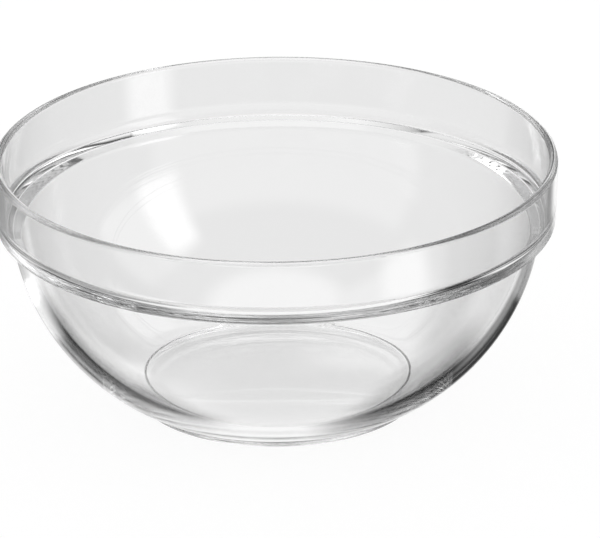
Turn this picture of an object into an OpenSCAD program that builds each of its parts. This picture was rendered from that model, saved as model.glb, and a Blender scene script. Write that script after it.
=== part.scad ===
// Stacking prep bowl in pressed, tempered clear glass.
// It is one revolved piece of glass: a rounded rim, a slightly tapered band, a ledge below the band
// on which the next bowl's rim carries it, a slanted shoulder inside the bowl above that ledge,
// a curved wall that thickens downwards, a flat floor, and a foot with a hollow underside.
// Millimetres, Z up. The origin is the centre of the circle on which the foot stands.

/* [Bowl] */
// Outer diameter across the rim
rim_d = 230; // [190:1:260]
// Height from the foot to the top of the rim
bowl_h = 104; // [85:1:150]
// Glass thickness at the rim and down the band, which the full round of the rim follows
rim_t = 3.6; // [2.4:0.1:5]

/* [Stacking band] */
// Height of the band, from the top of the rim to the ledge under it
band_h = 27; // [18:0.5:40]
// Taper of the band, in degrees from upright, so that it leaves its mould
band_taper = 2.3; // [0:0.1:5]
// Free gap all round between a nested bowl's wall and the inside of the band below it
nest_gap = 3; // [1:0.1:6]
// Rounding of the band's lower outer edge
ledge_edge_r = 0.9; // [0.6:0.1:2.5]
// Rounding of the inner corner where the wall starts under the ledge
ledge_root_r = 0.6; // [0.4:0.1:2]

/* [Inner shoulder] */
// Upright glass thickness between the ledge's inner corner and the shoulder above it
shoulder_t = 2.8; // [2.2:0.1:6]
// Slope of the shoulder, in degrees from level
shoulder_slope = 40; // [25:1:50]
// Hollow rounding where the shoulder leaves the band
shoulder_root_r = 6.5; // [1:0.1:8]
// Full rounding where the shoulder turns down into the wall
shoulder_lip_r = 3; // [1:0.1:6]

/* [Wall and floor] */
// Lean of the wall from upright, in degrees, where it starts under the ledge
wall_lean = 5; // [2:0.5:12]
// Glass thickness of the wall under the ledge
wall_t = 4.5; // [2.4:0.1:6]
// Glass thickness of the wall where it meets the foot
wall_foot_t = 5.6; // [3:0.1:9]
// Glass thickness of the base at its centre
base_t = 5; // [3:0.1:10]
// Radius that blends the wall into the floor
floor_blend_r = 26; // [10:1:45]

/* [Foot] */
// Outer diameter of the foot
foot_d = 115; // [80:1:150]
// Height of the foot, from its underside to the wall's curve
foot_h = 1.8; // [1.5:0.1:4]
// Width of the flat ring on which the foot stands, with the rounding of its outer edge
foot_w = 6.5; // [3:0.5:15]
// Rise of the hollow underside, from that ring to the centre
dome_h = 1.4; // [0.4:0.1:4]
// Rounding of the foot's lower outer edge
foot_edge_r = 1; // [0.2:0.1:1.1]
// Rounding where the foot's outer side runs into the wall
foot_root_r = 0.6; // [0.3:0.1:0.9]

/* [Hidden] */

// Fineness of the outline, in degrees of arc for each point, and of the preview around the axis.
long_arc_step = 2.5;
dome_step = 1;
round_step = 10;
$fn = 180;

rim_r = rim_d / 2;
foot_r = foot_d / 2;
foot_in_r = foot_r - foot_w;
ledge_z = bowl_h - band_h;

// The rim's full round, from which the band's outer and inner sides start as tangents.
bead_r = rim_t / 2;
bead = [rim_r - bead_r, bowl_h - bead_r];

// The radius at height z, a given depth of glass in from the band's outer side.
function band_x(z, depth) =
    bead.x + (bead_r - depth) / cos(band_taper) + (z - bead.y) * tan(band_taper);

ledge_edge = [band_x(ledge_z + ledge_edge_r, ledge_edge_r), ledge_z + ledge_edge_r];

// The wall of a nested bowl hangs inside the rim of the bowl below it.
wall_top = [rim_r - rim_t - nest_gap, ledge_z];
wall_foot = [foot_r, foot_h];

// The outside wall is one arc through those two points that leaves the ledge at the given lean.
chord = wall_top - wall_foot;
chord_lean = atan2(chord.x, chord.y);
half_sweep = chord_lean - wall_lean;
outer_r = norm(chord) / (2 * sin(half_sweep));
outer_c = wall_top - outer_r * [cos(wall_lean), -sin(wall_lean)];

// The inside wall is an arc with its centre higher up, so that the glass thickens towards the foot.
foot_angle = wall_lean + 2 * half_sweep;
thicken = (wall_foot_t - wall_t) / (sin(foot_angle) - sin(wall_lean));
inner_r = outer_r - wall_t + thicken * sin(wall_lean);
inner_c = outer_c + [0, thicken];

// Centre, at height z, of a rounding that touches an arc: outside it where side is 1, inside it where side
// is -1.
function beside(c, r, own_r, z, side) = [c.x + sqrt(pow(r + side * own_r, 2) - pow(z - c.y, 2)), z];

ledge_root = beside(outer_c, outer_r, ledge_root_r, ledge_z - ledge_root_r, 1);
floor_z = dome_h + base_t;
floor_blend = beside(inner_c, inner_r, floor_blend_r, floor_z + floor_blend_r, -1);

// The height at radius x of a line that runs beside the shoulder's slant, a given distance above it.
slant = tan(shoulder_slope);
function slant_y(x, above) =
    ledge_z + shoulder_t + (x - wall_top.x) * slant + above / cos(shoulder_slope);

// The hollow rounding of the shoulder touches the band's inner side and the slant.
root_x = band_x(slant_y(0, shoulder_root_r), rim_t + shoulder_root_r) / (1 - slant * tan(band_taper));
shoulder_root = [root_x, slant_y(root_x, shoulder_root_r)];

// The rounding of the lip touches the slant and the wall's inner side. Its centre lies in the glass,
// where a line below the slant meets an arc outside the wall's inner arc.
lip_drop = slant_y(inner_c.x, -shoulder_lip_r) - inner_c.y;
lip_x = inner_c.x + cos(shoulder_slope) * (
    sqrt(pow(inner_r + shoulder_lip_r, 2) - pow(lip_drop * cos(shoulder_slope), 2))
    - lip_drop * sin(shoulder_slope)
);
shoulder_lip = [lip_x, slant_y(lip_x, -shoulder_lip_r)];

// The foot's outer side runs into the wall through a small hollow rounding.
foot_root = [
    foot_r + foot_root_r,
    outer_c.y - sqrt(pow(outer_r + foot_root_r, 2) - pow(foot_r + foot_root_r - outer_c.x, 2))
];

// The underside of the base rises as a shallow dome inside the flat ring.
dome_arc_r = (pow(foot_in_r, 2) + pow(dome_h, 2)) / (2 * dome_h);
dome_c = [0, dome_h - dome_arc_r];
dome_angle = atan2(foot_in_r, dome_arc_r - dome_h);

// The direction from one point to another, from -180 to 180 degrees.
function heading(p, q) = atan2(q.y - p.y, q.x - p.x);

// Points of an arc about c, with both its ends.
function arc(c, r, from, to, step = round_step) =
    let (n = max(1, ceil(abs(to - from) / step)))
    [for (i = [0:n]) c + r * [cos(from + (to - from) * i / n), sin(from + (to - from) * i / n)]];

// The outline of the outside, from the underside's centre to the top of the rim.
outside = concat(
    arc(dome_c, dome_arc_r, 90, 90 - dome_angle, dome_step),
    arc([foot_r - foot_edge_r, foot_edge_r], foot_edge_r, -90, 0),
    arc(foot_root, foot_root_r, 180, heading(foot_root, outer_c)),
    arc(outer_c, outer_r, heading(outer_c, foot_root), heading(outer_c, ledge_root), long_arc_step),
    arc(ledge_root, ledge_root_r, heading(ledge_root, outer_c), 90),
    arc(ledge_edge, ledge_edge_r, -90, -band_taper),
    arc(bead, bead_r, -band_taper, 90)
);

// The outline of the inside, from the top of the rim to the floor's centre.
inside = concat(
    arc(bead, bead_r, 90, 180 - band_taper),
    arc(shoulder_root, shoulder_root_r, -band_taper, shoulder_slope - 90),
    arc(shoulder_lip, shoulder_lip_r, shoulder_slope + 90, heading(shoulder_lip, inner_c)),
    arc(inner_c, inner_r, heading(inner_c, shoulder_lip), heading(inner_c, floor_blend), long_arc_step),
    arc(floor_blend, floor_blend_r, heading(inner_c, floor_blend), -90, long_arc_step),
    [[0, floor_z]]
);

// The whole bowl, turned from its half section.
module glass_bowl() {
    color("lightcyan", 0.35)
        rotate_extrude()
            polygon(concat(outside, inside));
}

glass_bowl();
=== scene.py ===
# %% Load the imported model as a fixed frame
import math

import bmesh
import bpy
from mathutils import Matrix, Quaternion, Vector


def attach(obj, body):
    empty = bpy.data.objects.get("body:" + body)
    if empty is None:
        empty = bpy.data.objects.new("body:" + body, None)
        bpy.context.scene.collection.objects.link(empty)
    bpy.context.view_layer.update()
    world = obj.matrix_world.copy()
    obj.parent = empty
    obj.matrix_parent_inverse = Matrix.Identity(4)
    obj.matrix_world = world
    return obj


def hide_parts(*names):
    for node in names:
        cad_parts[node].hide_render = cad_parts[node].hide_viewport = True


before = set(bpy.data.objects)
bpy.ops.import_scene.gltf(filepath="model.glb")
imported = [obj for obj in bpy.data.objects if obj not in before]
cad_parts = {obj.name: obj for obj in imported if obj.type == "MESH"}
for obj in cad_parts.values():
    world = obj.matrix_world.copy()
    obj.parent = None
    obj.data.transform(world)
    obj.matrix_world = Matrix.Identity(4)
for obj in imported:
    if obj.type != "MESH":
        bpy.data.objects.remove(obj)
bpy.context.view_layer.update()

# %% [markdown]
# A stacking prep bowl in clear glass, alone on a white ground.
# The real bowl is pressed from one gob of molten glass between a mould and a plunger, then fire-polished and
# tempered, so it has no parts, no joints and no seams to fit. Everything that makes it look real is in three
# things: the exact half section, a glass that bends and mirrors light as glass does, and what stands around it
# for the glass to show. This file makes them in that order, after the camera, because glass can only be judged
# through the lens it is seen with.

# %% Small helpers for angles and nodes
MM = 0.001
SAME_POINT = 0.002 * MM  # closer than this, two vertices are one


def from_degrees(*angles):
    return [math.radians(a) for a in angles]


def new_node(tree, kind, label="", **inputs):
    """Adds a node and fills its sockets by name, with a value or with the output of another node."""
    node = tree.nodes.new(kind)
    node.label = label
    for name, value in inputs.items():
        socket = node.inputs[name.replace("_", " ")]
        if isinstance(value, bpy.types.NodeSocket):
            tree.links.new(value, socket)
        else:
            socket.default_value = value
    return node


def calculate(tree, operation, *values):
    """Adds a Math node and returns its output."""
    node = tree.nodes.new("ShaderNodeMath")
    node.operation = operation
    for socket, value in zip(node.inputs, values):
        if isinstance(value, bpy.types.NodeSocket):
            tree.links.new(value, socket)
        else:
            socket.default_value = value
    return node.outputs[0]


# %% [markdown]
# The camera. The rim and the foot are circles, so their ellipses in the photograph give the viewing angle: the
# rim's is 0.37 as high as it is wide, which is a look down of about 21.6 degrees. Its near and far halves differ
# by very little, so the lens is long and stands far off. The picture also leans by half a degree, which a turn
# about the line of sight copies. The lens is aimed at the rim's centre first, then turned until that centre falls
# on its own pixel, so the framing needs no shift.

# %% The camera
picture = Vector((600, 538))
rim_radius = 115 * MM
rim_height = 104 * MM
rim_radius_px = 282.6
rim_centre_px = Vector((275.6, 156.7))
look_down, lean = from_degrees(21.57, -0.59)
rim_share_of_distance = 0.03
camera_distance = rim_radius / rim_share_of_distance

rim_centre = Vector((0, 0, rim_height))
camera_place = rim_centre + camera_distance * Vector((0, -math.cos(look_down), math.sin(look_down)))
focal_px = rim_radius_px / rim_radius * camera_distance

lens = bpy.data.cameras.new("photo_lens")
lens.sensor_fit = "HORIZONTAL"
lens.sensor_width = 36
lens.lens = focal_px / picture.x * lens.sensor_width
lens.clip_end = 100
camera = bpy.data.objects.new("photo_camera", lens)
bpy.context.scene.collection.objects.link(camera)
bpy.context.scene.camera = camera

aim = (rim_centre - camera_place).to_track_quat("-Z", "Y")
off_axis = Vector((rim_centre_px.x - picture.x / 2, picture.y / 2 - rim_centre_px.y, -focal_px))
camera.location = camera_place
camera.rotation_mode = "QUATERNION"
camera.rotation_quaternion = (
    aim @ Quaternion((0, 0, 1), lean) @ off_axis.rotation_difference(Vector((0, 0, -1)))
)
print("lens", round(lens.lens), "mm, at", round(camera_distance, 2), "m")

# %% [markdown]
# The half section. A pressed bowl is a body of revolution, so its whole form is one closed outline, and its
# maker would draw that outline from tangent arcs. It could be modelled as a cylinder pushed into shape, but glass
# shows every dent in such a surface as a bent line. So the outline is drawn as the mould maker draws it, from the
# same named sizes as the CAD model, in millimetres.

# %% Sizes of the bowl, in millimetres
rim_d, bowl_h, rim_t = 230, 104, 3.6
band_h, nest_gap, ledge_edge_r, ledge_root_r = 27, 3, 0.9, 0.6
shoulder_t, shoulder_root_r, shoulder_lip_r = 2.8, 6.5, 3
wall_t, wall_foot_t, base_t, floor_blend_r = 4.5, 5.6, 5, 26
foot_d, foot_h, foot_w, dome_h = 115, 1.8, 6.5, 1.4
foot_edge_r, foot_root_r, ring_blend_r = 1, 0.6, 60
band_taper, shoulder_slope, wall_lean = from_degrees(2.3, 40, 5)

rim_r, foot_r, foot_in_r, ledge_z = rim_d / 2, foot_d / 2, foot_d / 2 - foot_w, bowl_h - band_h

# %% [markdown]
# Where the arcs have their centres. Points are written as X across and Y up in the plane of the section. The rim
# is a full round, and both sides of the band start from it as tangents. The outside wall is one arc from the foot
# to the ledge, and the inside wall an arc with its centre a little higher, so the glass grows thicker downwards.
# Under the base, a shallow dome runs out into the flat ring of the foot. Polishing leaves no crease there, so a
# long arc of ring_blend_r joins the two.

# %% Centres of the rim and the band's roundings
bead_r = rim_t / 2
bead = Vector((rim_r - bead_r, bowl_h - bead_r))


def band_x(z, depth):
    """The radius at height z, a given depth of glass in from the band's outer side."""
    return bead.x + (bead_r - depth) / math.cos(band_taper) + (z - bead.y) * math.tan(band_taper)


ledge_edge = Vector((band_x(ledge_z + ledge_edge_r, ledge_edge_r), ledge_z + ledge_edge_r))
print("band is", round(band_x(ledge_z, 0), 1), "mm in radius at the ledge")

# %% Centres of the walls
wall_top = Vector((rim_r - rim_t - nest_gap, ledge_z))
chord = wall_top - Vector((foot_r, foot_h))
half_sweep = math.atan2(chord.x, chord.y) - wall_lean
outer_r = chord.length / (2 * math.sin(half_sweep))
outer_c = wall_top - outer_r * Vector((math.cos(wall_lean), -math.sin(wall_lean)))

foot_angle = wall_lean + 2 * half_sweep
thicken = (wall_foot_t - wall_t) / (math.sin(foot_angle) - math.sin(wall_lean))
inner_r = outer_r - wall_t + thicken * math.sin(wall_lean)
inner_c = outer_c + Vector((0, thicken))
print("wall arcs of", round(outer_r, 1), "and", round(inner_r, 1), "mm")


def beside(centre, radius, own_r, z, side):
    """The centre of a rounding at height z that touches an arc: outside it for side 1, inside it for side -1."""
    reach = radius + side * own_r
    return Vector((centre.x + math.sqrt(reach**2 - (z - centre.y) ** 2), z))


# %% Centres of the ledge's root, the floor and the foot
ledge_root = beside(outer_c, outer_r, ledge_root_r, ledge_z - ledge_root_r, 1)
floor_z = dome_h + base_t
floor_blend = beside(inner_c, inner_r, floor_blend_r, floor_z + floor_blend_r, -1)
foot_root_x = foot_r + foot_root_r
foot_root = Vector(
    (foot_root_x, outer_c.y - math.sqrt((outer_r + foot_root_r) ** 2 - (foot_root_x - outer_c.x) ** 2))
)
dome_arc_r = (foot_in_r**2 + dome_h**2) / (2 * dome_h)
dome_c = Vector((0, dome_h - dome_arc_r))
ring_blend = beside(dome_c, dome_arc_r, ring_blend_r, ring_blend_r, 1)
print("the dome blends into the ring", round(ring_blend.x, 1), "mm from the axis")

# %% [markdown]
# The shoulder inside the bowl follows the ledge outside, so that the glass keeps its thickness round the step. It
# is a short steep slant. A wide hollow rounding joins it to the band above, and a smaller full one turns it down
# into the wall. Their centres lie where two lines at the rounding's own distance meet.

# %% Centres of the inner shoulder
slope = math.tan(shoulder_slope)
taper = math.tan(band_taper)
land_z = ledge_z + shoulder_t - wall_top.x * slope
root_from = land_z + shoulder_root_r / math.cos(shoulder_slope)
root_z = (root_from + slope * band_x(0, rim_t + shoulder_root_r)) / (1 - slope * taper)
shoulder_root = Vector((band_x(root_z, rim_t + shoulder_root_r), root_z))

lip_from = land_z - shoulder_lip_r / math.cos(shoulder_slope) - inner_c.y
lip_a = 1 + slope**2
lip_b = slope * lip_from - inner_c.x
lip_c = inner_c.x**2 + lip_from**2 - (inner_r + shoulder_lip_r) ** 2
lip_x = (math.sqrt(lip_b**2 - lip_a * lip_c) - lip_b) / lip_a
shoulder_lip = Vector((lip_x, inner_c.y + lip_from + slope * lip_x))
print("shoulder root", [round(v, 2) for v in shoulder_root], "lip", [round(v, 2) for v in shoulder_lip])

# %% [markdown]
# The outline itself is a list of arcs in the order in which a pen would draw them, each with its centre, its
# radius and the two headings between which it runs. Where the next arc starts somewhere else, the pen draws a
# straight line to it: that happens along the foot, the ledge, the band's two sides, the land and the floor.


# %% The arcs of the outline
def heading(start, end):
    """The direction from one point to another."""
    return math.atan2(end.y - start.y, end.x - start.x)


right, up, left, down = 0, math.pi / 2, math.pi, -math.pi / 2
small_step, large_step = from_degrees(5, 1.5)

outline = [
    (dome_c, dome_arc_r, up, heading(dome_c, ring_blend), large_step / 6),
    (ring_blend, ring_blend_r, heading(ring_blend, dome_c), down, large_step / 4),
    (Vector((foot_r - foot_edge_r, foot_edge_r)), foot_edge_r, down, right, small_step * 2),
    (foot_root, foot_root_r, left, heading(foot_root, outer_c), small_step * 2),
    (outer_c, outer_r, heading(outer_c, foot_root), heading(outer_c, ledge_root), large_step),
    (ledge_root, ledge_root_r, heading(ledge_root, outer_c), up, small_step * 2),
    (ledge_edge, ledge_edge_r, down, -band_taper, small_step),
    (bead, bead_r, -band_taper, left - band_taper, small_step),
    (shoulder_root, shoulder_root_r, -band_taper, shoulder_slope + down, small_step),
    (shoulder_lip, shoulder_lip_r, shoulder_slope + up, heading(shoulder_lip, inner_c), small_step),
    (inner_c, inner_r, heading(inner_c, shoulder_lip), heading(inner_c, floor_blend), large_step),
    (floor_blend, floor_blend_r, heading(inner_c, floor_blend), down, large_step * 2),
]
print(len(outline), "arcs")

# %% [markdown]
# A pen made of two operators. Extruding a vertex draws a straight line, and spinning a vertex about a centre draws
# an arc. Smooth shading blends the directions of the faces on both sides of an edge, which would bow a straight
# side like a lens. So a straight line gets an extra point close to each end, which keeps the blend out of it.


# %% The pen
guard_length = 0.15 * MM


def in_section(point):
    return Vector((point.x * MM, 0, point.y * MM))


def draw_line(section, pen, end):
    """Extrudes the pen's vertex along a straight line and returns the vertex at its end."""
    start, end = pen.co.copy(), in_section(end)
    length = (end - start).length
    near_end = min(guard_length, length / 5) / length
    for share in (near_end, 0.5, 1 - near_end, 1):
        pen = bmesh.ops.extrude_vert_indiv(section, verts=[pen])["verts"][0]
        pen.co = start.lerp(end, share)
    return pen


def draw_arc(section, pen, centre, start, end, step):
    """Spins the pen's vertex about a centre and returns the vertex at the arc's end."""
    swept = bmesh.ops.spin(
        section, geom=[pen], cent=in_section(centre), axis=(0, 1, 0), angle=start - end,
        steps=max(1, math.ceil(abs(end - start) / step)),
    )
    return next(v for v in swept["geom_last"] if isinstance(v, bmesh.types.BMVert))


# %% Draw the half section
section = bmesh.new()
pen = bmesh.ops.create_vert(section, co=in_section(dome_c + Vector((0, dome_arc_r))))["vert"][0]
for centre, radius, start, end, step in outline:
    arc_start = centre + radius * Vector((math.cos(start), math.sin(start)))
    if (in_section(arc_start) - pen.co).length > 5 * SAME_POINT:
        pen = draw_line(section, pen, arc_start)
    pen = draw_arc(section, pen, centre, start, end, step)
pen = draw_line(section, pen, Vector((0, floor_z)))
bmesh.ops.remove_doubles(section, verts=section.verts, dist=SAME_POINT)
print(len(section.verts), "points in the half section")

# %% [markdown]
# One full spin of the section about the upright axis makes the bowl, as a turned pattern would. The section starts
# and ends on the axis, so its first and last points would leave a pile of vertices there. Merging doubles closes
# both poles, and then the faces are made to point outwards, away from the glass.

# %% Spin the section into the bowl
spin_steps = 256
bmesh.ops.spin(
    section, geom=section.verts[:] + section.edges[:], cent=(0, 0, 0), axis=(0, 0, 1),
    angle=math.tau, steps=spin_steps, use_merge=True,
)
bmesh.ops.remove_doubles(section, verts=section.verts, dist=SAME_POINT)
bmesh.ops.recalc_face_normals(section, faces=section.faces)
bowl_mesh = bpy.data.meshes.new("pressed_bowl")
section.to_mesh(bowl_mesh)
volume = section.calc_volume()
open_edges = [e for e in section.edges if not e.is_manifold]
section.free()
bowl_mesh.polygons.foreach_set("use_smooth", [True] * len(bowl_mesh.polygons))
bowl = bpy.data.objects.new("pressed_bowl", bowl_mesh)
bpy.context.scene.collection.objects.link(bowl)
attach(bowl, "root")
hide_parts("glass_bowl")
print("glass", round(volume * 1e6, 1), "ml,", len(open_edges), "open edges,", len(bowl_mesh.polygons), "faces")

# %% [markdown]
# The glass. Clear soda-lime glass bends light by an index of 1.52. It takes almost nothing from the light that
# passes through a few millimetres, but a path that is mirrored along the inside of the wall for many centimetres
# comes out grey. A volume that absorbs by distance does that by itself, while a tinted surface would darken thin
# and thick glass alike.

# %% Clear glass that absorbs by distance
glass = bpy.data.materials.new("clear_pressed_glass")
glass.use_nodes = True
nodes = glass.node_tree
nodes.nodes.clear()
clear = new_node(nodes, "ShaderNodeBsdfPrincipled", "fire-polished glass")
clear.inputs["Base Color"].default_value = (1, 1, 1, 1)
clear.inputs["IOR"].default_value = 1.52
clear.inputs["Transmission Weight"].default_value = 1
body = new_node(nodes, "ShaderNodeVolumeAbsorption", "what thick glass takes away")
body.inputs["Color"].default_value = (0.92, 0.921, 0.922, 1)
body.inputs["Density"].default_value = 5
new_node(nodes, "ShaderNodeOutputMaterial", Surface=clear.outputs[0], Volume=body.outputs[0])
bowl.data.materials.append(glass)

# %% [markdown]
# Pressed glass is never optically flat. Where the hot gob meets the cooler mould it sets in faint waves, which run
# round the wall and are only seen as a slight unrest in the lines behind them. They are about a hundredth of a
# millimetre high, so they are a bump and not geometry. Stretched noise gives them their run.

# %% Chill waves
place = new_node(nodes, "ShaderNodeTexCoord").outputs["Object"]
stretched = new_node(nodes, "ShaderNodeMapping", "longer round the bowl than up it", Vector=place)
stretched.inputs["Scale"].default_value = (22, 22, 60)
waves = new_node(nodes, "ShaderNodeTexNoise", "chill waves", Vector=stretched.outputs[0], Scale=1.0, Detail=2.0)
unrest = new_node(nodes, "ShaderNodeBump", "about a hundredth of a millimetre", Height=waves.outputs[0])
unrest.inputs["Strength"].default_value = 1
unrest.inputs["Distance"].default_value = 0.02 * MM
nodes.links.new(unrest.outputs[0], clear.inputs["Normal"])

# %% [markdown]
# The foot slides over worktops and other bowls, so its flat ring is lightly scuffed in patches, while everything
# else stays fire-polished. The scuffs are a mask by height, broken up by noise, that only feeds the roughness.

# %% Scuffs under the foot
height = new_node(nodes, "ShaderNodeSeparateXYZ", Vector=place).outputs["Z"]
on_foot = new_node(nodes, "ShaderNodeMapRange", "the lowest quarter millimetre", Value=height)
on_foot.inputs["From Min"].default_value = 0.25 * MM
on_foot.inputs["From Max"].default_value = 0.05 * MM
patches = new_node(nodes, "ShaderNodeTexNoise", "patches of scuffs", Vector=place, Scale=420.0, Detail=4.0)
worn = calculate(nodes, "MULTIPLY", on_foot.outputs[0], calculate(nodes, "MULTIPLY", patches.outputs[0], 0.12))
nodes.links.new(worn, clear.inputs["Roughness"])
print("glass material with", len(nodes.nodes), "nodes")

# %% [markdown]
# The floor is plain and pale, and in the photograph it is so bright that it melts into the white ground. It gives
# most of its white by itself, to the camera only, and takes the rest from the light, so that the bowl still leaves
# a soft shadow round its foot. From below it is clear, because the underside of the foot is looked at too.

# %% The floor
floor_half_width = 8
floor_mesh = bpy.data.meshes.new("pale_floor")
ground = bmesh.new()
bmesh.ops.create_grid(ground, x_segments=1, y_segments=1, size=floor_half_width)
ground.to_mesh(floor_mesh)
ground.free()
floor = bpy.data.objects.new("pale_floor", floor_mesh)
bpy.context.scene.collection.objects.link(floor)

paint = bpy.data.materials.new("pale_floor_paint")
paint.use_nodes = True
nodes = paint.node_tree
nodes.nodes.clear()
rays = new_node(nodes, "ShaderNodeLightPath")
side = new_node(nodes, "ShaderNodeNewGeometry")
own_white = new_node(nodes, "ShaderNodeEmission", "white ground", Color=(1, 1, 1, 1), Strength=0.92)
lit_white = new_node(nodes, "ShaderNodeBsdfDiffuse", "catches the shadow", Color=(0.1, 0.1, 0.1, 1))
seen = new_node(nodes, "ShaderNodeAddShader")
nodes.links.new(own_white.outputs[0], seen.inputs[0])
nodes.links.new(lit_white.outputs[0], seen.inputs[1])
from_above = calculate(nodes, "SUBTRACT", rays.outputs["Is Camera Ray"], side.outputs["Backfacing"])
unseen = new_node(nodes, "ShaderNodeBsdfTransparent")
shown = new_node(nodes, "ShaderNodeMixShader", Fac=from_above)
nodes.links.new(unseen.outputs[0], shown.inputs[1])
nodes.links.new(seen.outputs[0], shown.inputs[2])
new_node(nodes, "ShaderNodeOutputMaterial", Surface=shown.outputs[0])
floor.data.materials.append(paint)

# %% [markdown]
# What stands around the bowl. Clear glass has no look of its own: it shows its surroundings. A photographer puts it
# before a white ground, and then stands dark cards and bright soft boxes outside the picture, which only show in
# the edges of the glass, where light is mirrored inside the wall. So the world is white where it is seen straight,
# a little less white through the glass, and a small studio of cards and soft boxes for every path that was
# mirrored.
# Where the real ones stood isn't known. These were moved about, partly by a search on a computer, until the glass
# looked much like the photograph, and then rounded. Each is a rectangle on the sky, given by the direction to its
# middle and its size, all in degrees. Azimuth 0 is the camera's side and 90 is to the right.

# %% A world with cards and soft boxes
world = bpy.data.worlds.new("photo_studio")
bpy.context.scene.world = world
world.use_nodes = True
studio = world.node_tree
studio.nodes.clear()
direction = new_node(
    studio, "ShaderNodeSeparateXYZ", Vector=new_node(studio, "ShaderNodeTexCoord").outputs["Generated"]
)
azimuth = calculate(
    studio, "ARCTAN2", direction.outputs["X"], calculate(studio, "MULTIPLY", direction.outputs["Y"], -1)
)
elevation = calculate(studio, "ARCSINE", direction.outputs["Z"])


def within(distance, half_size, softness):
    """A soft-edged mask that is 1 where a distance is below half a size."""
    mask = new_node(studio, "ShaderNodeMapRange", Value=distance)
    mask.interpolation_type = "SMOOTHSTEP"
    mask.inputs["From Min"].default_value = half_size + softness
    mask.inputs["From Max"].default_value = max(0, half_size - softness)
    return mask.outputs[0]


def card(behind, name, middle_azimuth, middle_elevation, width, height, brightness, edge=5):
    """Lays a card of one brightness over the brightness behind it."""
    az, el, half_w, half_h, soft = from_degrees(
        middle_azimuth, middle_elevation, width / 2, height / 2, edge
    )
    turned = calculate(studio, "WRAP", calculate(studio, "SUBTRACT", azimuth, az), math.pi, -math.pi)
    across = within(calculate(studio, "ABSOLUTE", turned), half_w, soft)
    upward = within(
        calculate(studio, "ABSOLUTE", calculate(studio, "SUBTRACT", elevation, el)), half_h, soft
    )
    laid = studio.nodes.new("ShaderNodeMix")
    laid.label = name
    studio.links.new(calculate(studio, "MULTIPLY", across, upward), laid.inputs["Factor"])
    laid.inputs["B"].default_value = brightness
    if isinstance(behind, bpy.types.NodeSocket):
        studio.links.new(behind, laid.inputs["A"])
    else:
        laid.inputs["A"].default_value = behind
    return laid.outputs["Result"]


# %% The cards
level = 0.07
level = card(level, "white table", 0, -60, 400, 72, 0.95)
level = card(level, "grey front of the room", -5, 8, 124, 46, 0.67)
level = card(level, "ceiling", 0, 90, 400, 48, 1.5)
level = card(level, "lamp behind, right", 152, 60, 30, 18, 1.3)
level = card(level, "wide pale wall behind, left", -122, 50, 88, 38, 0.84)
level = card(level, "ceiling's edge straight behind", 180, 60, 38, 18, 0.9)
level = card(level, "pale wall on the right", 76, 28, 42, 36, 1)
level = card(level, "soft box on the right", 57, 25, 20, 36, 2.8)
level = card(level, "soft box's light on the table", 55, -22, 20, 18, 1.9)
level = card(level, "window behind, left", -154, 40, 34, 32, 1.2)
level = card(level, "window behind, right", 128, 40, 32, 26, 1.6)
level = card(level, "bright strip behind, right", 168, -4, 16, 44, 1.3)
level = card(level, "dark card behind, left", -144, -48, 42, 30, 0.02)
level = card(level, "dark card behind, right", 130, -54, 50, 24, 0.02)
level = card(level, "dark strip behind, right", 162, -40, 20, 32, 0.02)
level = card(level, "dark card on the right", 90, -34, 30, 34, 0.02)
level = card(level, "grey card on the left", -83, -36, 70, 36, 0.4)

# %% White where it is seen straight, and a little less through the glass
path = new_node(studio, "ShaderNodeLightPath")
mirrored = calculate(studio, "GREATER_THAN", path.outputs["Glossy Depth"], 0.5)
through = card(0.87, "brighter towards the horizon", 0, -2, 400, 16, 1.1)
in_glass = studio.nodes.new("ShaderNodeMix")
studio.links.new(through, in_glass.inputs["A"])
studio.links.new(level, in_glass.inputs["B"])
studio.links.new(mirrored, in_glass.inputs["Factor"])
shown_level = studio.nodes.new("ShaderNodeMix")
studio.links.new(in_glass.outputs["Result"], shown_level.inputs["A"])
shown_level.inputs["B"].default_value = 1
studio.links.new(path.outputs["Is Camera Ray"], shown_level.inputs["Factor"])
sky = new_node(studio, "ShaderNodeBackground", Color=(1, 1, 1, 1), Strength=shown_level.outputs["Result"])
new_node(studio, "ShaderNodeOutputWorld", Surface=sky.outputs[0])
world.cycles.sampling_method = "NONE"
print("world with", len(studio.nodes), "nodes")

# %% [markdown]
# Light that enters at the shoulder is caught in the wall. It runs down through the base and up the other side,
# mirrored more than a hundred times, before it gets out at the rim. With the usual dozen bounces such paths end
# black and leave dark wedges behind the ledge, which no real bowl has, so the limits are raised far beyond that.

# %% Long light paths and plain colours
scene = bpy.context.scene
scene.view_settings.view_transform = "Standard"
longest_path = 256
scene.cycles.max_bounces = longest_path
scene.cycles.glossy_bounces = longest_path
scene.cycles.transmission_bounces = longest_path
print("light paths of up to", longest_path, "bounces")
